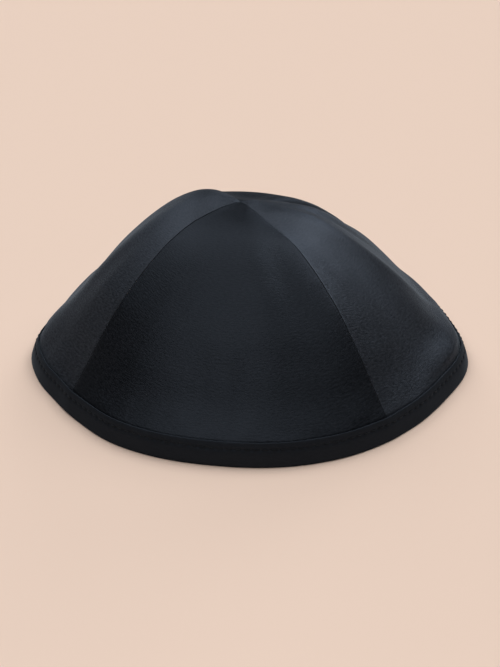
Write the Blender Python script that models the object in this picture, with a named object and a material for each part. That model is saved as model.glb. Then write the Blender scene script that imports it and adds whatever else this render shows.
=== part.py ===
"""A small skullcap sewn from four cloth panels and bound round its rim.

The cap stands on the flat underside of its rim binding. +Z is up, the front panel faces -Y, and the origin is
on the floor below the middle of the cap. Headings are in degrees from the front, and grow towards +X.
"""

from collections import namedtuple
from math import cos, exp, hypot, pi, radians, sin

import bmesh
import bpy
from mathutils import Vector

# Driving sizes, in metres
RIM_DIAMETER = 0.178
CROWN_HEIGHT = 0.0645
CROWN_SHIFT_X = -0.0035
CROWN_SHIFT_Y = -0.0010
PANEL_CLOTH = 0.0012
BAND_OUTSIDE = 0.0098
BAND_INSIDE = 0.0088
BAND_CLOTH = 0.0010
BAND_CORNER = 0.0008
CLEARANCE = 0.0003
CORNER_SOFTNESS = 0.3

# How finely the pieces are divided. A panel's sheet has spare columns past each seam, which are trimmed off.
STEPS_PER_PANEL = 16
STEPS_DOWN_PANEL = 16
STEPS_BEHIND_BAND = 2
SPARE_COLUMNS = 1
WELD_DISTANCE = 0.00001
TRIM_TOLERANCE = 0.0000001
SHARP_ANGLE = 40

# Finish of the cloths
PANEL_COLOUR = (0.018, 0.021, 0.025, 1.0)
PANEL_ROUGHNESS = 0.62
BAND_COLOUR = (0.009, 0.010, 0.012, 1.0)
BAND_ROUGHNESS = 0.72

# The rim seen from above, where reach is a share of the rim's radius, and how far the binding leans in
# over its height, as the tangent of the angle. The rim is a little narrower behind its widest line.
RimSection = namedtuple("RimSection", "heading reach lean")
RIM = [
    RimSection(0, 0.995, 0.24),
    RimSection(20, 1.006, 0.24),
    RimSection(36, 1.008, 0.24),
    RimSection(52, 0.998, 0.24),
    RimSection(68, 0.994, 0.25),
    RimSection(85, 1.008, 0.28),
    RimSection(103, 0.971, 0.50),
    RimSection(124, 0.945, 0.67),
    RimSection(155, 0.948, 0.62),
    RimSection(180, 0.955, 0.56),
    RimSection(205, 0.950, 0.60),
    RimSection(235, 0.943, 0.66),
    RimSection(254, 0.943, 0.66),
    RimSection(271, 0.958, 0.56),
    RimSection(286, 1.004, 0.31),
    RimSection(298, 1.006, 0.27),
    RimSection(309, 0.992, 0.25),
    RimSection(321, 0.996, 0.24),
    RimSection(334, 1.009, 0.24),
]

# The panels' line from the middle of the crown down to the binding. All three columns are shares: reach of
# the way out, and the height that is left above the binding along a seam and along a panel's middle.
ProfileRow = namedtuple("ProfileRow", "reach seam middle")
PROFILE = [
    ProfileRow(0.0, 1.000, 1.000),
    ProfileRow(0.1, 0.995, 0.990),
    ProfileRow(0.2, 0.980, 0.975),
    ProfileRow(0.3, 0.945, 0.935),
    ProfileRow(0.4, 0.885, 0.860),
    ProfileRow(0.5, 0.795, 0.750),
    ProfileRow(0.6, 0.680, 0.620),
    ProfileRow(0.7, 0.545, 0.475),
    ProfileRow(0.8, 0.375, 0.310),
    ProfileRow(0.9, 0.185, 0.140),
    ProfileRow(1.0, 0.000, 0.000),
]

# Fullness lifts a line half-way down, and puff lifts it beside the crown's middle. Both are shares of the
# crown's height.
Seam = namedtuple("Seam", "heading fullness puff")
SEAMS = [
    Seam(45, 0.00, -0.025),
    Seam(135, -0.06, 0.000),
    Seam(225, -0.05, 0.010),
    Seam(315, 0.01, 0.000),
]
Panel = namedtuple("Panel", "name first_seam fullness puff")
PANELS = [
    Panel("panel_right", 0, 0.00, 0.00),
    Panel("panel_back", 1, -0.08, -0.045),
    Panel("panel_left", 2, 0.047, 0.030),
    Panel("panel_front", 3, 0.00, 0.00),
]
PUFF_REACH = 0.20
PUFF_WIDTH = 0.12

# Soft folds in the cloth. Across runs from -1 at a panel's first seam to 1 at its second one, top and foot
# are shares of the way out, width is a share of the rim's radius, and height one of the crown's height.
Fold = namedtuple("Fold", "panel across_top across_foot top foot width height")
FOLDS = [
    Fold("panel_right", -0.10, -0.05, 0.25, 0.75, 0.07, 0.016),
    Fold("panel_right", -0.50, -0.55, 0.35, 0.90, 0.07, -0.012),
    Fold("panel_left", 0.45, 0.50, 0.35, 0.90, 0.07, -0.012),
    Fold("panel_front", -0.12, -0.12, 0.70, 1.00, 0.05, -0.010),
    Fold("panel_front", 0.10, 0.18, 0.20, 0.65, 0.06, 0.008),
    Fold("panel_front", 0.62, 0.70, 0.30, 0.85, 0.06, -0.010),
]


def curve_value(rows, column, x):
    """Reads a column at x on a smooth curve through the rows, whose first column grows."""
    last = len(rows) - 1
    i = 0
    while i < last - 1 and x > rows[i + 1][0]:
        i += 1

    def slope(j):
        before, after = rows[max(j - 1, 0)], rows[min(j + 1, last)]
        return (getattr(after, column) - getattr(before, column)) / (after[0] - before[0])

    step = rows[i + 1][0] - rows[i][0]
    t = min(max((x - rows[i][0]) / step, 0.0), 1.0)
    start, end = getattr(rows[i], column), getattr(rows[i + 1], column)
    bend = (1 - t) * slope(i) * step * t * (1 - t) - t * slope(i + 1) * step * t * (1 - t)
    return start + (end - start) * t * t * (3 - 2 * t) + bend


def round_the_rim(column, heading):
    """Reads a column of the rim's table at any heading."""
    before = [row._replace(heading=row.heading - 360) for row in RIM[-2:]]
    after = [row._replace(heading=row.heading + 360) for row in RIM[:2]]
    return curve_value(before + RIM + after, column, heading % 360)


def outward(heading):
    """The level direction away from the rim's middle."""
    return Vector((sin(radians(heading)), -cos(radians(heading)), 0))


def rim_line(heading, offset, height):
    """A point in the section at this heading, at a height, and offset outwards from the panel's outer face."""
    lean = round_the_rim("lean", heading)
    stretch = hypot(1, lean)
    foot = round_the_rim("reach", heading) * RIM_DIAMETER / 2 - (CLEARANCE + BAND_CLOTH) * stretch
    return outward(heading) * (foot + offset * stretch - lean * height) + Vector((0, 0, height))


def band_top(heading, length):
    """The height of the binding's edge, whose length is measured along its slope."""
    return length / hypot(1, round_the_rim("lean", heading))


def seams_of(panel):
    """The two seams that a panel lies between."""
    return SEAMS[panel.first_seam], SEAMS[(panel.first_seam + 1) % len(SEAMS)]


def panel_heading(panel, across):
    """The heading of a line down a panel, where across is -1 at its first seam and 1 at its second one."""
    seam, after = seams_of(panel)
    return seam.heading + (across + 1) / 2 * ((after.heading - seam.heading) % 360)


def panel_point(panel, across, down):
    """A point of a panel's outer face: down is 0 at the crown's middle and 1 where the binding begins."""
    seam, after = seams_of(panel)
    heading = panel_heading(panel, across)
    near = rim_line(heading, 0, band_top(heading, BAND_OUTSIDE) + BAND_CLOTH)
    swell = sin(pi * down)
    shoulder = bump(down - PUFF_REACH, PUFF_WIDTH) - bump(PUFF_REACH, PUFF_WIDTH) * (1 - down)
    to_after = (across + 1) / 2
    seam_fullness = seam.fullness + (after.fullness - seam.fullness) * to_after
    seam_puff = seam.puff + (after.puff - seam.puff) * to_after
    along_seam = curve_value(PROFILE, "seam", down) + seam_fullness * swell + seam_puff * shoulder
    along_middle = curve_value(PROFILE, "middle", down) + panel.fullness * swell + panel.puff * shoulder
    share = along_seam + (along_middle - along_seam) * (1 - across * across)
    share += sum(fold_height(fold, across, down) for fold in FOLDS if fold.panel == panel.name)
    crown = Vector((CROWN_SHIFT_X, CROWN_SHIFT_Y, CROWN_HEIGHT))
    place = crown.lerp(near, down)
    place.z = near.z + (CROWN_HEIGHT - near.z) * share
    return place


def bump(distance, width):
    """1 at no distance, and falling smoothly to nothing."""
    return exp(-((distance / width) ** 2))


def fold_height(fold, across, down):
    """How far a fold lifts the panel here."""
    along = (down - fold.top) / (fold.foot - fold.top)
    if not 0 < along < 1:
        return 0.0
    line = fold.across_top + (fold.across_foot - fold.across_top) * along
    sideways = (across - line) * down * pi / len(SEAMS)
    return fold.height * sin(pi * along) * bump(sideways, fold.width)


def material(name, colour, roughness):
    """A plain cloth finish."""
    made = bpy.data.materials.new(name)
    made.use_nodes = True
    shader = made.node_tree.nodes["Principled BSDF"]
    shader.inputs["Base Color"].default_value = colour
    shader.inputs["Roughness"].default_value = roughness
    shader.inputs["Metallic"].default_value = 0.0
    return made


def finished(name, mesh, cloth, collection, parent):
    """Puts a mesh in the cap as a smooth-shaded piece."""
    built = bpy.data.meshes.new(name)
    mesh.to_mesh(built)
    mesh.free()
    built.materials.append(cloth)
    built.shade_smooth()
    built.set_sharp_from_angle(angle=radians(SHARP_ANGLE))
    piece = bpy.data.objects.new(name, built)
    piece.parent = parent
    collection.objects.link(piece)
    return piece


def panel_rows():
    """The steps down a panel: even ones to the binding, and past 1 the steps behind it."""
    rows = [i / STEPS_DOWN_PANEL for i in range(STEPS_DOWN_PANEL + 1)]
    return rows + [1 + (i + 1) / STEPS_BEHIND_BAND for i in range(STEPS_BEHIND_BAND)]


def cloth_point(panel, across, down):
    """A point of the outer face, also behind the binding, where down goes on to 2 at the panel's foot."""
    if down <= 1:
        return panel_point(panel, across, down)
    heading = panel_heading(panel, across)
    lean = round_the_rim("lean", heading)
    foot = BAND_CLOTH + CLEARANCE + PANEL_CLOTH * lean / hypot(1, lean)
    top = band_top(heading, BAND_OUTSIDE) + BAND_CLOTH
    return rim_line(heading, 0, top + (foot - top) * (down - 1))


def build_panel(panel, cloth, collection, parent):
    """One panel: a sheet set over the cap's form, thickened inwards, and trimmed to its two seams."""
    rows = panel_rows()
    columns = STEPS_PER_PANEL + 2 * SPARE_COLUMNS
    mesh = bmesh.new()
    bmesh.ops.create_grid(mesh, x_segments=columns, y_segments=len(rows) - 1, size=1)
    mesh.verts.ensure_lookup_table()
    for vertex in mesh.verts:
        column = round((vertex.co.x + 1) / 2 * columns)
        row = round((vertex.co.y + 1) / 2 * (len(rows) - 1))
        across = -1 + (column - SPARE_COLUMNS) * 2 / STEPS_PER_PANEL
        vertex.co = cloth_point(panel, across, rows[len(rows) - 1 - row])
    bmesh.ops.remove_doubles(mesh, verts=mesh.verts, dist=WELD_DISTANCE)
    bmesh.ops.recalc_face_normals(mesh, faces=mesh.faces)
    if sum(face.normal.z for face in mesh.faces) < 0:
        bmesh.ops.reverse_faces(mesh, faces=mesh.faces)
    bmesh.ops.solidify(mesh, geom=mesh.faces, thickness=PANEL_CLOTH)
    crown = Vector((CROWN_SHIFT_X, CROWN_SHIFT_Y, 0))
    for seam, side in zip(seams_of(panel), (1, -1)):
        along = rim_line(seam.heading, 0, 0) - crown
        inward = Vector((-along.y, along.x, 0)).normalized() * side
        cut_away(mesh, crown + inward * CLEARANCE / 2, inward)
    bmesh.ops.triangulate(mesh, faces=[face for face in mesh.faces if len(face.verts) > 4])
    return finished(panel.name, mesh, cloth, collection, parent)


def cut_away(mesh, point, kept_side):
    """Trims a closed mesh with a plane and closes the cut."""
    geometry = list(mesh.verts) + list(mesh.edges) + list(mesh.faces)
    cut = bmesh.ops.bisect_plane(mesh, geom=geometry, dist=TRIM_TOLERANCE, plane_co=point,
                                 plane_no=kept_side, clear_inner=True)
    edges = [item for item in cut["geom_cut"] if isinstance(item, bmesh.types.BMEdge)]
    bmesh.ops.holes_fill(mesh, edges=edges)


def band_section(heading):
    """The binding's section: up the outside, down to the fold inside it, and the same up the inner side."""
    outer_face = CLEARANCE + BAND_CLOTH
    outer_gap = CLEARANCE
    inner_gap = -(PANEL_CLOTH + CLEARANCE)
    inner_face = inner_gap - BAND_CLOTH
    outer_top = band_top(heading, BAND_OUTSIDE)
    inner_top = band_top(heading, BAND_INSIDE)
    edge = BAND_CLOTH / 2
    soft = BAND_CORNER * CORNER_SOFTNESS
    section = [
        (outer_face - BAND_CORNER, 0),
        (outer_face - soft, soft),
        (outer_face, BAND_CORNER),
        (outer_face, outer_top - edge),
        (outer_face - edge, outer_top),
        (outer_gap, outer_top - edge),
        (outer_gap, BAND_CLOTH),
        (inner_gap, BAND_CLOTH),
        (inner_gap, inner_top - edge),
        (inner_face + edge, inner_top),
        (inner_face, inner_top - edge),
        (inner_face, BAND_CORNER),
        (inner_face + soft, soft),
        (inner_face + BAND_CORNER, 0),
    ]
    return [rim_line(heading, offset, height) for offset, height in section]


def build_band(cloth, collection, parent):
    """The binding: its section carried round the rim."""
    count = STEPS_PER_PANEL * len(SEAMS)
    mesh = bmesh.new()
    rings = []
    for i in range(count):
        heading = SEAMS[0].heading + 360 * i / count
        rings.append([mesh.verts.new(point) for point in band_section(heading)])
    for i, ring in enumerate(rings):
        following = rings[(i + 1) % count]
        for j, corner in enumerate(ring):
            k = (j + 1) % len(ring)
            mesh.faces.new((corner, ring[k], following[k], following[j]))
    bmesh.ops.recalc_face_normals(mesh, faces=mesh.faces)
    return finished("rim_band", mesh, cloth, collection, parent)


def middle_of(piece):
    """The point on the floor below the middle of a piece's outline."""
    across = [vertex.co.x for vertex in piece.data.vertices]
    deep = [vertex.co.y for vertex in piece.data.vertices]
    return Vector((min(across) + max(across), min(deep) + max(deep), 0)) / 2


for leftover in list(bpy.data.objects):
    bpy.data.objects.remove(leftover)

cap_collection = bpy.data.collections.new("skullcap")
bpy.context.scene.collection.children.link(cap_collection)
cap = bpy.data.objects.new("skullcap", None)
cap_collection.objects.link(cap)
panel_cloth = material("panel_cloth", PANEL_COLOUR, PANEL_ROUGHNESS)
band_cloth = material("band_cloth", BAND_COLOUR, BAND_ROUGHNESS)
for panel_row in PANELS:
    build_panel(panel_row, panel_cloth, cap_collection, cap)
rim = build_band(band_cloth, cap_collection, cap)
cap.location = -middle_of(rim)
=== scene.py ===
"""A small skullcap of dark satin-faced cloth: four gores and a bound rim, standing on a pale floor."""
from collections import namedtuple
from math import cos, exp, floor, hypot, pi, radians, sin

import bpy
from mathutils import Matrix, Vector, noise


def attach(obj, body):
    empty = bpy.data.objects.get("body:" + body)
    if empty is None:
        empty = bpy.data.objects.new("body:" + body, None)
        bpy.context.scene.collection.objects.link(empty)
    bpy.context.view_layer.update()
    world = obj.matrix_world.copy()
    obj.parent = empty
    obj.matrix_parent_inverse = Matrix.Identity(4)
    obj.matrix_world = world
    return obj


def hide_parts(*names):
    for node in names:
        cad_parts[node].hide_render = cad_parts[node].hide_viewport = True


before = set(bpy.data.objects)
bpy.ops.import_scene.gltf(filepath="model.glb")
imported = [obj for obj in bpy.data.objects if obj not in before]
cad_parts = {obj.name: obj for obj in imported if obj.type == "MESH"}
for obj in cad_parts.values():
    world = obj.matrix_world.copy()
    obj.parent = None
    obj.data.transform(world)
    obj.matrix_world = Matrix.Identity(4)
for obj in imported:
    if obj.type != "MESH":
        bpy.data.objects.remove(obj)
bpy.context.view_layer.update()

# Camera. It looks down at the cap's front gore from a little to the right, with its aim just above the middle
# of the rim, and far enough off for the rim to look nearly like a plain ellipse.
RIM_MIDDLE = Vector((-0.001438, 0.001889, 0))
CAMERA_HEADING = 8.3
CAMERA_ELEVATION = 32
CAMERA_DISTANCE = 0.6675
CAMERA_LENS = 87.36
CAMERA_SHIFT = (0.00045, 0.00975)

from_rim = Vector((sin(radians(CAMERA_HEADING)) * cos(radians(CAMERA_ELEVATION)),
                   -cos(radians(CAMERA_HEADING)) * cos(radians(CAMERA_ELEVATION)),
                   sin(radians(CAMERA_ELEVATION))))
bpy.ops.object.camera_add(location=RIM_MIDDLE + from_rim * CAMERA_DISTANCE,
                          rotation=from_rim.to_track_quat("Z", "Y").to_euler())
camera = bpy.context.object
camera.name = "camera"
camera.data.lens = CAMERA_LENS
camera.data.shift_x, camera.data.shift_y = CAMERA_SHIFT
camera.data.clip_start = 0.01
bpy.context.scene.camera = camera


# Floor and light. The cap stands on plain matt card, peach-pink and without a mark. Soft lights above it and
# behind it to both sides throw its shadow towards the camera. Two low ones behind make the satin shine, and a
# faint one stands in front.
FLOOR_WIDTH = 8.0
FLOOR_COLOUR = (0.790, 0.617, 0.515, 1)
ROOM_COLOUR = (1.0, 0.98, 0.96, 1)
ROOM_STRENGTH = 0.03


class Wire:
    """A socket of a material's nodes. Sums on wires add the nodes that work them out."""

    def __init__(self, tree, socket=None):
        self.tree, self.socket = tree, socket

    def node(self, kind, settings, sockets, output=0):
        made = self.tree.nodes.new(kind)
        for name, value in settings.items():
            setattr(made, name, value)
        for key, value in sockets.items():
            if isinstance(value, Wire):
                self.tree.links.new(value.socket, made.inputs[key])
            else:
                made.inputs[key].default_value = value
        return Wire(self.tree, made.outputs[output])

    def sum(self, operation, *values):
        return self.node("ShaderNodeMath", {"operation": operation}, dict(enumerate(values)))

    def __add__(self, other):
        return self.sum("ADD", self, other)

    def __sub__(self, other):
        return self.sum("SUBTRACT", self, other)

    def __rsub__(self, other):
        return self.sum("SUBTRACT", other, self)

    def __mul__(self, other):
        return self.sum("MULTIPLY", self, other)

    __radd__, __rmul__ = __add__, __mul__


def new_material(name):
    """A material with its Principled shader and a wire to build its nodes from."""
    material = bpy.data.materials.new(name)
    material.use_nodes = True
    return material, material.node_tree.nodes["Principled BSDF"], Wire(material.node_tree)


bpy.ops.object.select_all(action="DESELECT")
bpy.ops.mesh.primitive_plane_add(size=FLOOR_WIDTH)
floor_card = bpy.context.object
floor_card.name = "floor"
card, card_shader, wires = new_material("pale_card")
card_shader.inputs["Base Color"].default_value = FLOOR_COLOUR
card_shader.inputs["Roughness"].default_value = 0.9
card_shader.inputs["Specular IOR Level"].default_value = 0.0
floor_card.data.materials.append(card)

room = bpy.data.worlds.new("room")
room.use_nodes = True
room.node_tree.nodes["Background"].inputs["Color"].default_value = ROOM_COLOUR
room.node_tree.nodes["Background"].inputs["Strength"].default_value = ROOM_STRENGTH
bpy.context.scene.world = room
bpy.context.scene.view_settings.view_transform = "Standard"

# Each light's heading is where it stands round the cap, from the front gore towards the right one.
StudioLight = namedtuple("StudioLight", "name heading elevation spread strength")
for studio_light in [
    StudioLight("light_front", 338, 50, 30, 0.24),
    StudioLight("light_low_behind", 166, 20, 22, 0.46),
    StudioLight("light_low_left", 213, 20, 24, 0.28),
    StudioLight("light_right_behind", 138, 50, 42, 1.19),
    StudioLight("light_above", 0, 86, 80, 1.21),
    StudioLight("light_left_behind", 228, 48, 42, 0.79),
]:
    heading, elevation = radians(studio_light.heading), radians(studio_light.elevation)
    towards = Vector((sin(heading) * cos(elevation), -cos(heading) * cos(elevation), sin(elevation)))
    bpy.ops.object.light_add(type="SUN", location=towards,
                             rotation=towards.to_track_quat("Z", "Y").to_euler())
    lamp = bpy.context.object
    lamp.name = studio_light.name
    lamp.data.angle = radians(studio_light.spread)
    lamp.data.energy = studio_light.strength


# Gores. The crown is four gores of fine satin-faced cloth, sewn edge to edge. Each seam is pressed open, so a
# gore's edge rolls under and its allowance lies flat inside. The points of the four gores meet at the top.
RIM_DIAMETER = 0.178
CROWN_HEIGHT = 0.0645
CROWN_SHIFT = Vector((-0.0035, -0.0010, 0))
GORE_SPACE = 0.0012
BAND_OUTSIDE = 0.0098
BAND_INSIDE = 0.0088
BAND_CLOTH = 0.0010
BAND_CORNER = 0.0008
CLEARANCE = 0.0003
GORE_CLOTH = 0.00022
GORE_TUCK = 0.0004
SEAM_GAP = 0.000014
SEAM_ALLOWANCE = 0.006
ALLOWANCE_DEPTH = 2.4 * GORE_CLOTH
SEAM_UPRIGHT = 0.0025
# Where a gore is narrow near its point, its roll and allowance end at these shares of its half width.
WIDEST_ROLL = 0.4
WIDEST_ALLOWANCE = 0.8
STEPS_ACROSS_GORE = 84
STEPS_DOWN_GORE = 150
STEPS_BEHIND_BAND = 6
SAME_PLACE = 0.000002

# The rim from above: reach is a share of the rim's radius, and lean is how far the side leans in over its
# height.
RimPlace = namedtuple("RimPlace", "heading reach lean")
RIM = [
    RimPlace(0, 0.995, 0.24),
    RimPlace(20, 1.006, 0.24),
    RimPlace(36, 1.008, 0.24),
    RimPlace(52, 0.998, 0.24),
    RimPlace(68, 0.994, 0.25),
    RimPlace(85, 1.013, 0.28),
    RimPlace(103, 0.962, 0.46),
    RimPlace(124, 0.934, 0.64),
    RimPlace(155, 0.945, 0.62),
    RimPlace(180, 0.955, 0.56),
    RimPlace(205, 0.950, 0.60),
    RimPlace(235, 0.943, 0.66),
    RimPlace(254, 0.938, 0.64),
    RimPlace(271, 0.949, 0.52),
    RimPlace(286, 1.004, 0.31),
    RimPlace(298, 1.006, 0.27),
    RimPlace(309, 0.992, 0.25),
    RimPlace(321, 0.996, 0.24),
    RimPlace(334, 1.009, 0.24),
]
# The height that is left above the binding, at shares of the way out, along a seam and along a gore's middle.
GoreLine = namedtuple("GoreLine", "reach seam middle")
GORE_LINE = [
    GoreLine(0.0, 1.000, 1.000),
    GoreLine(0.1, 0.995, 0.990),
    GoreLine(0.2, 0.980, 0.975),
    GoreLine(0.3, 0.945, 0.935),
    GoreLine(0.4, 0.885, 0.860),
    GoreLine(0.5, 0.795, 0.750),
    GoreLine(0.6, 0.680, 0.620),
    GoreLine(0.7, 0.545, 0.475),
    GoreLine(0.8, 0.375, 0.310),
    GoreLine(0.9, 0.185, 0.140),
    GoreLine(1.0, 0.000, 0.000),
]
Seam = namedtuple("Seam", "heading fullness puff")
SEAMS = [
    Seam(45, 0.00, -0.025),
    Seam(135, -0.06, 0.000),
    Seam(225, -0.05, 0.010),
    Seam(315, 0.01, 0.000),
]
# The lightness column is painted light and shade: it lightens or darkens one satin's colour in each
# gore, lighter at the sides and darkest at the front, for how the light falls on it. Shine says how much
# light the satin sends back brightly, the way that it is turned in this gore.
Gore = namedtuple("Gore", "name node first_seam fullness puff lightness shine")
GORES = [
    Gore("gore_right", "panel_right", 0, 0.00, 0.00, 1.65, 0.037),
    Gore("gore_back", "panel_back", 1, -0.08, -0.045, 1.00, 0.020),
    Gore("gore_left", "panel_left", 2, 0.047, 0.030, 1.95, 0.030),
    Gore("gore_front", "panel_front", 3, 0.00, 0.00, 0.68, 0.021),
]
PUFF_REACH = 0.20
PUFF_WIDTH = 0.12
# The cloth's soft folds, from a place near the top to one lower down. Hollows have a height below zero.
Fold = namedtuple("Fold", "gore across_top across_foot top foot width height")
FOLDS = [
    Fold("gore_right", -0.38, 0.20, 0.12, 0.96, 0.055, 0.024),
    Fold("gore_right", 0.12, 0.42, 0.12, 0.75, 0.045, -0.018),
    Fold("gore_right", -0.82, -0.64, 0.10, 0.75, 0.060, -0.014),
    Fold("gore_right", 0.85, 0.60, 0.55, 1.00, 0.10, 0.022),
    Fold("gore_right", -0.50, -0.55, 0.35, 0.90, 0.07, -0.012),
    Fold("gore_left", 0.45, 0.50, 0.35, 0.90, 0.07, -0.018),
    Fold("gore_front", -0.12, -0.12, 0.70, 1.00, 0.05, -0.010),
    Fold("gore_front", 0.12, 0.12, 0.72, 1.00, 0.03, -0.008),
    Fold("gore_front", 0.30, 0.36, 0.10, 0.98, 0.075, 0.010),
    Fold("gore_front", 0.62, 0.70, 0.30, 0.85, 0.06, -0.012),
    Fold("gore_right", 1.00, 1.00, 0.06, 0.80, 0.10, -0.050),
    Fold("gore_back", -1.00, -1.00, 0.06, 0.80, 0.045, -0.050),
    Fold("gore_back", -1.00, -1.00, 0.02, 0.92, 0.020, -0.030),
    Fold("gore_back", -0.80, -0.72, 0.36, 0.98, 0.11, 0.032),
]
# Each gore's two edges: how far they stand proud of the seam, over which width, and how wide they roll under.
# The right gore's edge rolls widest and hangs over the back gore's, which sinks into a crease behind it.
SeamEdge = namedtuple("SeamEdge", "gore side height width roll")
SEAM_EDGES = [
    SeamEdge("gore_right", -1, 0.0001, 0.0016, 0.00020),
    SeamEdge("gore_right", 1, 0.0004, 0.0030, 0.00100),
    SeamEdge("gore_back", -1, 0.0000, 0.0030, 0.00040),
    SeamEdge("gore_back", 1, -0.0007, 0.0018, 0.00020),
    SeamEdge("gore_left", -1, 0.0004, 0.0030, 0.00030),
    SeamEdge("gore_left", 1, 0.00020, 0.0012, 0.00018),
    SeamEdge("gore_front", -1, 0.0, 0.0016, 0.00018),
    SeamEdge("gore_front", 1, -0.00008, 0.0016, 0.00020),
]
# At both sides the cloth bulges out just above the binding.
Bulge = namedtuple("Bulge", "first_heading last_heading above width height")
BULGES = [
    Bulge(62, 150, 0.0040, 0.0055, 0.0012),
    Bulge(205, 298, 0.0055, 0.0070, 0.0015),
]
BULGE_FADE = 18
# The cloth's small unevenness: slow waves, puckers along the seams and draws at the binding's edge.
Unevenness = namedtuple("Unevenness", "height length")
LONG_WAVES = Unevenness(0.00030, 0.030)
SHORT_WAVES = Unevenness(0.00007, 0.011)
PUCKERS = Unevenness(0.00011, 0.0032)
PUCKERS_REACH = 0.0030
PUCKERS_UPRIGHT = 0.4
DRAWS = Unevenness(0.00022, 0.0075)
DRAWS_REACH = 0.008
HELD_BY_BAND = 0.0022
TOP_DIP = 0.0005
TOP_DIP_WIDTH = 0.0016


def curve_value(rows, column, x):
    """Reads a column at x on a smooth curve through the rows."""
    last = len(rows) - 1
    i = 0
    while i < last - 1 and x > rows[i + 1][0]:
        i += 1

    def slope(j):
        before, after = rows[max(j - 1, 0)], rows[min(j + 1, last)]
        return (getattr(after, column) - getattr(before, column)) / (after[0] - before[0])

    step = rows[i + 1][0] - rows[i][0]
    t = min(max((x - rows[i][0]) / step, 0.0), 1.0)
    start, end = getattr(rows[i], column), getattr(rows[i + 1], column)
    bend = (1 - t) * slope(i) * step * t * (1 - t) - t * slope(i + 1) * step * t * (1 - t)
    return start + (end - start) * t * t * (3 - 2 * t) + bend


RIM_AND_ENDS = ([row._replace(heading=row.heading - 360) for row in RIM[-2:]] + RIM
                + [row._replace(heading=row.heading + 360) for row in RIM[:2]])


def away(heading):
    return Vector((sin(radians(heading)), -cos(radians(heading)), 0))


def rim_place(heading, offset, height):
    """A place beside the rim, measured outwards from the gores' outer face."""
    lean = curve_value(RIM_AND_ENDS, "lean", heading % 360)
    stretch = hypot(1, lean)
    foot = curve_value(RIM_AND_ENDS, "reach", heading % 360) * RIM_DIAMETER / 2
    foot -= (CLEARANCE + BAND_CLOTH) * stretch
    return RIM_MIDDLE + away(heading) * (foot + offset * stretch - lean * height) + Vector((0, 0, height))


def leg_top(heading, length):
    """The height of an edge that lies this far up the leaning side."""
    return length / hypot(1, curve_value(RIM_AND_ENDS, "lean", heading % 360))


def hump(distance, width):
    return exp(-((distance / width) ** 2))


def gore_heading(gore, across):
    return SEAMS[gore.first_seam].heading + (across + 1) * 180 / len(SEAMS)


def gore_face(gore, across, down):
    """The gore's smooth outer face. Past 1, down goes on behind the binding to the gore's foot at 2."""
    heading = gore_heading(gore, across)
    top = leg_top(heading, BAND_OUTSIDE) - GORE_TUCK
    if down > 1:
        lean = curve_value(RIM_AND_ENDS, "lean", heading % 360)
        foot = BAND_CLOTH + CLEARANCE + GORE_SPACE * lean / hypot(1, lean)
        return rim_place(heading, 0, top + (foot - top) * (down - 1))
    near = rim_place(heading, 0, top)
    seam, after = SEAMS[gore.first_seam], SEAMS[(gore.first_seam + 1) % len(SEAMS)]
    swell = sin(pi * down)
    shoulder = hump(down - PUFF_REACH, PUFF_WIDTH) - hump(PUFF_REACH, PUFF_WIDTH) * (1 - down)
    to_after = (across + 1) / 2
    seam_fullness = seam.fullness + (after.fullness - seam.fullness) * to_after
    seam_puff = seam.puff + (after.puff - seam.puff) * to_after
    along_seam = curve_value(GORE_LINE, "seam", down) + seam_fullness * swell + seam_puff * shoulder
    along_middle = curve_value(GORE_LINE, "middle", down) + gore.fullness * swell + gore.puff * shoulder
    share = along_seam + (along_middle - along_seam) * (1 - across * across)
    for fold in FOLDS:
        along = (down - fold.top) / (fold.foot - fold.top)
        if fold.gore == gore.name and 0 < along < 1:
            line = fold.across_top + (fold.across_foot - fold.across_top) * along
            aside = (across - line) * down * pi / len(SEAMS)
            share += fold.height * sin(pi * along) * hump(aside, fold.width)
    crown = RIM_MIDDLE + CROWN_SHIFT + Vector((0, 0, CROWN_HEIGHT))
    place = crown.lerp(near, down)
    place.z = near.z + (CROWN_HEIGHT - near.z) * share
    return place


def gore_normal(gore, across, down):
    """The way out of the smooth face. At the crown's point it is the one a little lower down."""
    step = 0.01
    down = max(down, 3 * step)
    sideways = gore_face(gore, across + step, down) - gore_face(gore, across - step, down)
    outwards = gore_face(gore, across, down + step) - gore_face(gore, across, down - step)
    return outwards.cross(sideways).normalized()


def cloth_ripple(edge, heading, place, down, from_seam):
    """How far the cloth stands off its smooth face."""
    slow = LONG_WAVES.height * noise.noise(place / LONG_WAVES.length)
    slow += SHORT_WAVES.height * noise.noise(place / SHORT_WAVES.length)
    if down < 1:
        slow += edge.height * hump(from_seam, edge.width) * sin(pi * down) ** 0.5
    along_seam = Vector((place.x, place.y, place.z * PUCKERS_UPRIGHT))
    pucker = PUCKERS.height * noise.noise(along_seam / PUCKERS.length) * hump(from_seam, PUCKERS_REACH)
    above_band = max(1 - down, 0) * RIM_DIAMETER / 2
    for bulge in BULGES:
        fade = min(heading - bulge.first_heading, bulge.last_heading - heading) / BULGE_FADE
        fade = min(max(fade, 0), 1)
        slow += bulge.height * fade * fade * (3 - 2 * fade) * hump(above_band - bulge.above, bulge.width)
    draw = DRAWS.height * noise.noise(Vector((place.x, place.y, 0)) / DRAWS.length)
    draw *= hump(above_band, DRAWS_REACH)
    top_dip = -TOP_DIP * hump((place - RIM_MIDDLE - CROWN_SHIFT).xy.length, TOP_DIP_WIDTH)
    return (slow + pucker + draw) * min(above_band / HELD_BY_BAND, 1) + top_dip


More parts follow.
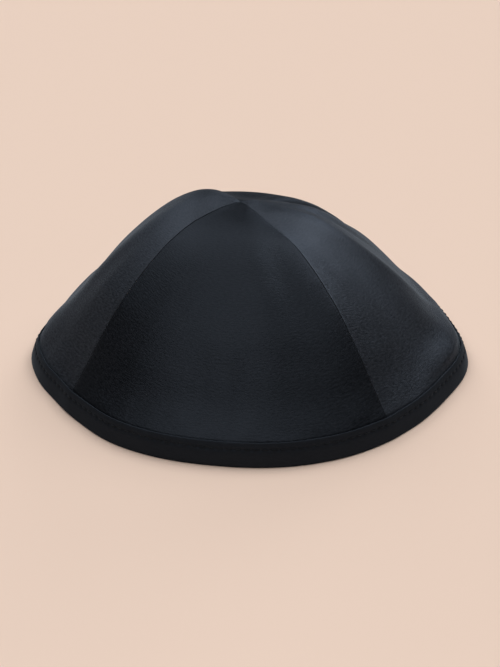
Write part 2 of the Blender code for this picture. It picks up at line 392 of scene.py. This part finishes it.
# One entry for each line of the cloth down a gore: the allowance's lines, the seam's roll in degrees, and the
# shares of the way from one seam to the other.
UNDER = [1.0, 0.75, 0.5, 0.25]
ROLL = [180, 140, 105, 75, 40]
columns = ([("under", share, -1) for share in UNDER] + [("roll", angle, -1) for angle in ROLL]
           + [("face", i / STEPS_ACROSS_GORE, 0) for i in range(STEPS_ACROSS_GORE + 1)]
           + [("roll", angle, 1) for angle in reversed(ROLL)]
           + [("under", share, 1) for share in reversed(UNDER)])
steps_down = ([i / STEPS_DOWN_GORE for i in range(STEPS_DOWN_GORE + 1)]
              + [1 + (i + 1) / STEPS_BEHIND_BAND for i in range(STEPS_BEHIND_BAND)])

GRAIN_LENGTH = 0.58 * RIM_DIAMETER
THREAD_PITCH = 0.00034
SLUB_WIDTH = 0.0016
SLUB_HEIGHT = 0.0006
SATIN_DARK = (0.0040, 0.0048, 0.0062)
SATIN_LIGHT = (0.0130, 0.0146, 0.0180)
LINT_COLOUR = (0.13, 0.14, 0.15, 1)
SHINE_COLOUR = (0.68, 0.80, 1.0, 1)
SHINE_TINT = (0.66, 0.80, 1.0, 1)
SHEEN_TINT = (0.72, 0.86, 1.0, 1)
Finish = namedtuple("Finish", "roughness sheen sheen_roughness shine")


def with_lint(wires, tone, dark, light, solid_place, lint_scale, lint_size):
    """A colour between dark and light, with a few pale specks of lint on it."""
    plain = wires.node("ShaderNodeMix", {"data_type": "RGBA"}, {"Factor": tone, 6: dark, 7: light}, 2)
    specks = wires.node("ShaderNodeTexVoronoi", {}, {"Vector": solid_place, "Scale": lint_scale,
                                                     "Randomness": 1.0})
    lint = specks.sum("LESS_THAN", specks, lint_size) * 0.5
    return wires.node("ShaderNodeMix", {"data_type": "RGBA"}, {"Factor": lint, 6: plain, 7: LINT_COLOUR}, 2)


def finish_cloth(wires, shader, colour, bump, shine_roughness, finish):
    """Gives the shader a matt cloth's look and mixes in the dyed thread's own shine."""
    wires.tree.links.new(colour.socket, shader.inputs["Base Color"])
    wires.tree.links.new(bump.socket, shader.inputs["Normal"])
    shader.inputs["Roughness"].default_value = finish.roughness
    shader.inputs["Specular IOR Level"].default_value = 0.0
    shader.inputs["Sheen Weight"].default_value = finish.sheen
    shader.inputs["Sheen Roughness"].default_value = finish.sheen_roughness
    shader.inputs["Sheen Tint"].default_value = SHEEN_TINT
    shine = wires.node("ShaderNodeBsdfPrincipled", {}, {
        "Base Color": SHINE_COLOUR, "Metallic": 1.0, "Roughness": shine_roughness,
        "Specular Tint": SHINE_TINT, "Normal": bump})
    mixed = wires.node("ShaderNodeMixShader", {}, {
        0: finish.shine, 1: Wire(wires.tree, shader.outputs[0]), 2: shine})
    wires.tree.links.new(mixed.socket, wires.tree.nodes["Material Output"].inputs["Surface"])


def satin_cloth(name, lightness, thread_shine):
    """Dark satin: a fine weave with slubs and lint, lightened or darkened as painted light and shade."""
    satin, satin_shader, wires = new_material(name)
    grain = wires.node("ShaderNodeUVMap", {"uv_map": "grain"}, {})
    grain_axes = wires.node("ShaderNodeSeparateXYZ", {}, {"Vector": grain})
    across_grain = Wire(wires.tree, grain_axes.socket.node.outputs["X"])
    along_grain = Wire(wires.tree, grain_axes.socket.node.outputs["Y"])
    warp = across_grain.sum("SINE", across_grain * (2 * pi / THREAD_PITCH))
    weft = along_grain.sum("SINE", along_grain * (2 * pi / THREAD_PITCH))
    slub_place = wires.node("ShaderNodeMapping", {}, {"Vector": grain,
                                                      "Scale": (1 / SLUB_WIDTH, 1 / SLUB_HEIGHT, 1)})
    slubs = wires.node("ShaderNodeTexNoise", {}, {"Vector": slub_place, "Scale": 1.0, "Detail": 3.0,
                                                  "Roughness": 0.6})
    solid_place = wires.node("ShaderNodeTexCoord", {}, {}, "Object")
    mottle = wires.node("ShaderNodeTexNoise", {}, {"Vector": solid_place, "Scale": 60.0, "Detail": 3.0})
    # The satin's colours are scaled for this gore: painted light and shade.
    dark, light = ([part * lightness for part in colour] + [1] for colour in (SATIN_DARK, SATIN_LIGHT))
    colour = with_lint(wires, slubs * 3.0 + mottle * 0.5 - 1.25, dark, light, solid_place, 120.0, 0.018)
    weave_bump = wires.node("ShaderNodeBump", {}, {"Height": warp * weft, "Strength": 0.25,
                                                   "Distance": 0.00005})
    slub_bump = wires.node("ShaderNodeBump", {}, {"Height": slubs, "Strength": 0.7, "Distance": 0.00016,
                                                  "Normal": weave_bump})
    finish = Finish(roughness=0.7, sheen=0.27, sheen_roughness=0.28, shine=thread_shine)
    finish_cloth(wires, satin_shader, colour, slub_bump, slubs * 0.20 + 0.22, finish)
    return satin


for gore in GORES:
    bpy.ops.object.select_all(action="DESELECT")
    bpy.ops.mesh.primitive_grid_add(x_subdivisions=len(columns) - 1, y_subdivisions=len(steps_down) - 1,
                                    size=2)
    sheet = bpy.context.object
    sheet.name = sheet.data.name = gore.name
    gore_edges = {edge.side: edge for edge in SEAM_EDGES if edge.gore == gore.name}
    seam_sides = {-1: away(gore_heading(gore, -1)), 1: away(gore_heading(gore, 1))}
    half_widths = []
    for down in steps_down:
        line = [gore_face(gore, -1 + 2 * i / 8, down) for i in range(9)]
        half_widths.append(sum((b - a).length for a, b in zip(line, line[1:])) / 2)
    grain_places = {}
    for vertex in sheet.data.vertices:
        kind, value, side = columns[round((vertex.co.x + 1) / 2 * (len(columns) - 1))]
        row = len(steps_down) - 1 - round((vertex.co.y + 1) / 2 * (len(steps_down) - 1))
        down, half_width = steps_down[row], half_widths[row]
        if kind == "face":
            side = -1 if value < 0.5 else 1
        edge = gore_edges[side]
        roll = min(edge.roll, WIDEST_ROLL * half_width)
        if kind == "face":
            from_seam = roll + min(value, 1 - value) * 2 * (half_width - roll)
            depth = 0.0
            lateral = from_seam
        elif kind == "roll":
            from_seam = roll * (1 - sin(radians(value)))
            depth = roll * (1 - cos(radians(value)))
            lateral = roll - radians(value) * roll
        else:
            from_seam = roll + value * (min(SEAM_ALLOWANCE, WIDEST_ALLOWANCE * half_width) - roll)
            depth = max(2 * roll, ALLOWANCE_DEPTH)
            lateral = roll - pi * roll - (from_seam - roll)
        across = side * (1 - from_seam / max(half_width, 0.00001)) if half_width > 0 else 0
        normal = gore_normal(gore, across, down)
        seam_way = seam_sides[side]
        out_of_seam = Vector((-seam_way.y, seam_way.x, 0))
        normal -= out_of_seam * normal.dot(out_of_seam) * hump(from_seam, SEAM_UPRIGHT)
        normal.normalize()
        place = gore_face(gore, across, down)
        ripple = cloth_ripple(edge, gore_heading(gore, across) % 360, place, down, from_seam)
        vertex.co = place + normal * (ripple - depth) + away(gore_heading(gore, 0)) * SEAM_GAP
        grain_places[vertex.index] = (side * (half_width - lateral), down * GRAIN_LENGTH)
    grain_map = sheet.data.uv_layers[0]
    grain_map.name = "grain"
    for loop in sheet.data.loops:
        grain_map.data[loop.index].uv = grain_places[loop.vertex_index]
    bpy.ops.object.mode_set(mode="EDIT")
    bpy.ops.mesh.select_all(action="SELECT")
    bpy.ops.mesh.remove_doubles(threshold=SAME_PLACE)
    bpy.ops.mesh.normals_make_consistent(inside=False)
    bpy.ops.object.mode_set(mode="OBJECT")
    if sum(face.normal.z * face.area for face in sheet.data.polygons) < 0:
        sheet.data.flip_normals()
    wall = sheet.modifiers.new("wall", "SOLIDIFY")
    wall.thickness = GORE_CLOTH
    wall.offset = -1
    bpy.ops.object.modifier_apply(modifier=wall.name)
    bpy.ops.object.shade_smooth()
    # Each gore gets its own lighter or darker copy of the satin: painted light and shade.
    sheet.data.materials.append(satin_cloth("satin_" + gore.name, gore.lightness, gore.shine))
    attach(sheet, "root")
    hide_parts(gore.node)


# Binding. One strip of matt cloth, cut on the bias and with its long edges turned in, is folded over the
# gores' raw edge, so that it has an outside leg and a slightly shorter inside leg. One row of stitches holds
# both.
STITCHES = 160
STEPS_PER_STITCH = 6
TAPE_CLOTH = 0.00030
TURNED_IN = 0.0042
EDGE_PRESSED = 0.00055
EDGE_REACH = 0.0017
STITCH_ROW = 0.0025
STITCH_DEPTH = 0.00040
STITCH_WIDTH = 0.00060
# The stitches pull least between two of them, and less at the turned-in edges and at the inside leg.
PULL_BETWEEN = 0.35
EDGE_PULL = 0.4
TURNED_IN_PULL = 0.6
INSIDE_PULL = 0.8
SEAM_LUMP = 0.00035
LUMP_WIDTH = 0.0045
LUMP_BELOW = 0.003
LUMP_HEIGHT = 0.006
LEG_SWELL = 0.00012
SWELL_BELOW = 0.0060
SWELL_WIDTH = 0.0026
LEG_WANDER = 0.00014
EDGE_WANDER = 0.00012
WANDER_AROUND = 9
WANDER_UP = 0.008
BIAS_ANGLE = 38
RIB_LENGTH = 0.0020
RIB_WIDTH = 0.00055
BIAS_DARK = (0.0036, 0.0046, 0.0060, 1)
BIAS_LIGHT = (0.0120, 0.0142, 0.0175, 1)
# The rows of the strip: down the outside leg from its edge, up the inside leg from its foot, and the angles
# round an edge. The rows are closest at the stitches.
OUTSIDE_ROWS = (0.0006, 0.0011, 0.0016, 0.0020, 0.0023, 0.0025, 0.0027, 0.0030, 0.0036, 0.0044, 0.0054,
                0.0064, 0.0074, 0.0083, 0.0089)
INSIDE_ROWS = (0.0009, 0.0022, 0.0036, 0.0050, 0.0057, 0.0061, 0.0065, 0.0069, 0.0073, 0.0080)
EDGE_ANGLES = (150, 110, 70, 30)
TURN_ROWS = (0.0008, TURNED_IN * 0.5, TURNED_IN)

# The rim's headings at equal steps along the rim, so that all stitches come out the same length.
PER_DEGREE = 2
trial = [rim_place(i / PER_DEGREE, CLEARANCE + BAND_CLOTH, BAND_OUTSIDE / 2)
         for i in range(360 * PER_DEGREE + 1)]
travelled = [0.0]
for a, b in zip(trial, trial[1:]):
    travelled.append(travelled[-1] + (b - a).length)
rim_length = travelled[-1]
around = STITCHES * STEPS_PER_STITCH
rim_headings = []
i = 0
for k in range(around + 1):
    goal = rim_length * k / around
    while i < len(travelled) - 2 and travelled[i + 1] < goal:
        i += 1
    rim_headings.append((i + (goal - travelled[i]) / (travelled[i + 1] - travelled[i])) / PER_DEGREE)

outer_face = CLEARANCE + BAND_CLOTH
inner_face = -(GORE_SPACE + CLEARANCE + BAND_CLOTH)
lip = BAND_CLOTH / 2


def stitch_pull(heading, row_distance):
    """How far the stitches pull the leg in here."""
    k = heading_share(heading) * STITCHES
    between = 0.5 + 0.5 * cos(2 * pi * k)
    share = PULL_BETWEEN + (1 - PULL_BETWEEN) * between ** 2
    return STITCH_DEPTH * hump(row_distance, STITCH_WIDTH) * share


def heading_share(heading):
    """How far round the rim a heading is, from 0 to 1."""
    step = heading % 360 * PER_DEGREE
    i = min(floor(step), len(travelled) - 2)
    return (travelled[i] + (travelled[i + 1] - travelled[i]) * (step - i)) / rim_length


def seam_lump(heading):
    """The bulge where a seam's allowances run down inside the binding."""
    share = heading_share(heading)
    height = 0.0
    for seam in SEAMS:
        apart = abs(share - heading_share(seam.heading))
        height += SEAM_LUMP * hump(min(apart, 1 - apart) * rim_length, LUMP_WIDTH)
    return height


def wander(heading, height, reach):
    """Slow unevenness of the strip."""
    way = away(heading) * WANDER_AROUND
    return noise.noise(Vector((way.x, way.y, height / WANDER_UP))) * reach


def tape_line(heading):
    """The strip's visible side, from the outside leg's turned-in edge round the fold to the inside leg's."""
    line = []
    top = leg_top(heading, BAND_OUTSIDE) + wander(heading, 0, EDGE_WANDER)
    top -= stitch_pull(heading, 0) * EDGE_PULL
    slope = leg_top(heading, 1)
    lump = seam_lump(heading)
    for below in reversed(TURN_ROWS):
        pull = stitch_pull(heading, below - STITCH_ROW) * TURNED_IN_PULL
        line.append((CLEARANCE + lump - pull, top - below * slope))
    edge = lip - EDGE_PRESSED / 2
    for angle in EDGE_ANGLES:
        round_edge = Vector((cos(radians(angle)), sin(radians(angle)))) * edge
        line.append((CLEARANCE + edge + lump + round_edge.x, top - edge + round_edge.y))
    for below in OUTSIDE_ROWS:
        swell = LEG_SWELL * hump(below - SWELL_BELOW, SWELL_WIDTH) - EDGE_PRESSED * hump(below, EDGE_REACH)
        offset = outer_face + lump * hump(below - LUMP_BELOW, LUMP_HEIGHT) + swell
        offset += wander(heading, below, LEG_WANDER) - stitch_pull(heading, below - STITCH_ROW)
        line.append((offset, top - below * slope))
    line.append((outer_face - BAND_CORNER * 0.3, BAND_CORNER * 0.3))
    line.append((outer_face - BAND_CORNER, 0))
    line.append((inner_face + BAND_CORNER, 0))
    line.append((inner_face + BAND_CORNER * 0.3, BAND_CORNER * 0.3))
    top = leg_top(heading, BAND_INSIDE)
    for above in INSIDE_ROWS:
        row = BAND_OUTSIDE - above - STITCH_ROW
        line.append((inner_face + stitch_pull(heading, row) * INSIDE_PULL, min(above * slope, top - lip)))
    for angle in EDGE_ANGLES:
        round_edge = Vector((cos(radians(angle)), sin(radians(angle)))) * lip
        line.append((inner_face + lip + round_edge.x, top - lip + round_edge.y))
    for below in TURN_ROWS:
        line.append((inner_face + BAND_CLOTH, top - below * slope))
    return line


tape_points = len(tape_line(0))
bpy.ops.object.select_all(action="DESELECT")
bpy.ops.mesh.primitive_grid_add(x_subdivisions=around, y_subdivisions=tape_points - 1, size=2)
binding = bpy.context.object
binding.name = binding.data.name = "rim_binding"
lines = [tape_line(heading) for heading in rim_headings]
grain_places = {}
for vertex in binding.data.vertices:
    k = round((vertex.co.x + 1) / 2 * around)
    j = round((vertex.co.y + 1) / 2 * (tape_points - 1))
    offset, height = lines[k][j]
    vertex.co = rim_place(rim_headings[k % around], offset, height)
    grain_places[vertex.index] = (rim_length * k / around, sum(
        hypot(b[0] - a[0], b[1] - a[1]) for a, b in zip(lines[k][:j], lines[k][1:j + 1])))
grain_map = binding.data.uv_layers[0]
grain_map.name = "grain"
for loop in binding.data.loops:
    grain_map.data[loop.index].uv = grain_places[loop.vertex_index]
bpy.ops.object.mode_set(mode="EDIT")
bpy.ops.mesh.select_all(action="SELECT")
bpy.ops.mesh.remove_doubles(threshold=SAME_PLACE)
bpy.ops.object.mode_set(mode="OBJECT")
lowest = min(binding.data.polygons, key=lambda face: face.center.z)
if lowest.normal.z > 0:
    binding.data.flip_normals()
wall = binding.modifiers.new("wall", "SOLIDIFY")
wall.thickness = TAPE_CLOTH
wall.offset = -1
bpy.ops.object.modifier_apply(modifier=wall.name)
bpy.ops.object.shade_smooth()

bias, bias_shader, wires = new_material("bias_cloth")
grain = wires.node("ShaderNodeUVMap", {"uv_map": "grain"}, {})
turned = wires.node("ShaderNodeMapping", {}, {"Vector": grain, "Rotation": (0, 0, radians(BIAS_ANGLE)),
                                              "Scale": (1 / RIB_LENGTH, 1 / RIB_WIDTH, 1)})
ribs = wires.node("ShaderNodeTexNoise", {}, {"Vector": turned, "Scale": 1.0, "Detail": 3.0,
                                             "Roughness": 0.55})
solid_place = wires.node("ShaderNodeTexCoord", {}, {}, "Object")
mottle = wires.node("ShaderNodeTexNoise", {}, {"Vector": solid_place, "Scale": 90.0, "Detail": 2.0})
colour = with_lint(wires, ribs * 0.7 + mottle * 0.3, BIAS_DARK, BIAS_LIGHT, solid_place, 150.0, 0.022)
rib_bump = wires.node("ShaderNodeBump", {}, {"Height": ribs, "Strength": 0.5, "Distance": 0.00015})
finish_cloth(wires, bias_shader, colour, rib_bump, ribs * 0.2 + 0.45,
             Finish(roughness=0.8, sheen=0.18, sheen_roughness=0.30, shine=0.019))
binding.data.materials.append(bias)
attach(binding, "root")
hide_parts("rim_band")


# Stitches. One row of machine stitches in black polyester thread goes through both legs of the binding, a
# little below its edge. Each stitch lies in the dent that it pulls, and dips into the cloth at both ends.
THREAD_DIAMETER = 0.00032
THREAD_PROUD = 0.30 * THREAD_DIAMETER
THREAD_DARK = (0.0030, 0.0045, 0.0065, 1)
THREAD_LIGHT = (0.0110, 0.0150, 0.0200, 1)
STITCH_LENGTH = rim_length / STITCHES
STITCH_SHARE = 0.74
THINNER_AT_ENDS = 0.45
DIP_AT_ENDS = 0.00030
bpy.ops.object.select_all(action="DESELECT")
bpy.ops.mesh.primitive_cylinder_add(vertices=6, radius=THREAD_DIAMETER / 2,
                                    depth=STITCH_LENGTH * STITCH_SHARE, rotation=(0, radians(90), 0))
bpy.ops.object.transform_apply(location=False, rotation=True, scale=False)
one_stitch = bpy.context.object
bpy.ops.object.mode_set(mode="EDIT")
bpy.ops.mesh.select_all(action="DESELECT")
bpy.ops.object.mode_set(mode="OBJECT")
for edge in one_stitch.data.edges:
    a, b = (one_stitch.data.vertices[i].co for i in edge.vertices)
    edge.select = abs(a.x - b.x) > STITCH_LENGTH / 2
bpy.ops.object.mode_set(mode="EDIT")
bpy.ops.mesh.select_mode(type="EDGE")
bpy.ops.mesh.subdivide(number_cuts=4)
bpy.ops.object.mode_set(mode="OBJECT")
for vertex in one_stitch.data.vertices:
    share = vertex.co.x / (STITCH_LENGTH * STITCH_SHARE / 2)
    thin = 1 - THINNER_AT_ENDS * abs(share) ** 4
    vertex.co.y *= thin
    vertex.co.z = vertex.co.z * thin - DIP_AT_ENDS * abs(share) ** 3

thread, thread_shader, wires = new_material("stitching_thread")
solid_place = wires.node("ShaderNodeTexCoord", {}, {}, "Object")
plies = wires.node("ShaderNodeTexNoise", {}, {"Vector": solid_place, "Scale": 4500.0, "Detail": 2.0})
colour = wires.node("ShaderNodeMix", {"data_type": "RGBA"},
                    {"Factor": plies, 6: THREAD_DARK, 7: THREAD_LIGHT}, 2)
ply_bump = wires.node("ShaderNodeBump", {}, {"Height": plies, "Strength": 0.5, "Distance": 0.00005})
wires.tree.links.new(colour.socket, thread_shader.inputs["Base Color"])
wires.tree.links.new(ply_bump.socket, thread_shader.inputs["Normal"])
thread_shader.inputs["Roughness"].default_value = 0.55
thread_shader.inputs["Specular IOR Level"].default_value = 0.12

StitchRow = namedtuple("StitchRow", "name outside")
for stitch_row in [StitchRow("stitches_outside", True), StitchRow("stitches_inside", False)]:
    bpy.ops.object.select_all(action="DESELECT")
    copies = []
    for number in range(STITCHES):
        heading = rim_headings[number * STEPS_PER_STITCH + STEPS_PER_STITCH // 2]
        before = rim_headings[number * STEPS_PER_STITCH]
        height = leg_top(heading, BAND_OUTSIDE - STITCH_ROW)
        if stitch_row.outside:
            offset = outer_face + seam_lump(heading) + THREAD_PROUD - stitch_pull(heading, 0)
        else:
            offset = inner_face - THREAD_PROUD + stitch_pull(heading, 0) * INSIDE_PULL
        middle = rim_place(heading, offset, height)
        end = rim_place(before, offset, leg_top(before, BAND_OUTSIDE - STITCH_ROW))
        lengthways = (middle - end).normalized()
        out = rim_place(heading, offset + 0.001, height) - middle
        if not stitch_row.outside:
            out = -out
        out = (out - lengthways * out.dot(lengthways)).normalized()
        sideways = out.cross(lengthways)
        copy = one_stitch.copy()
        copy.data = one_stitch.data.copy()
        bpy.context.collection.objects.link(copy)
        for vertex in copy.data.vertices:
            x, y, z = vertex.co
            vertex.co = middle + lengthways * x + sideways * y + out * z
        copies.append(copy)
    for copy in copies:
        copy.select_set(True)
    bpy.context.view_layer.objects.active = copies[0]
    bpy.ops.object.join()
    row_of_stitches = bpy.context.object
    row_of_stitches.name = row_of_stitches.data.name = stitch_row.name
    bpy.ops.object.shade_smooth()
    row_of_stitches.data.materials.clear()
    row_of_stitches.data.materials.append(thread)
    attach(row_of_stitches, "root")
bpy.data.objects.remove(one_stitch)
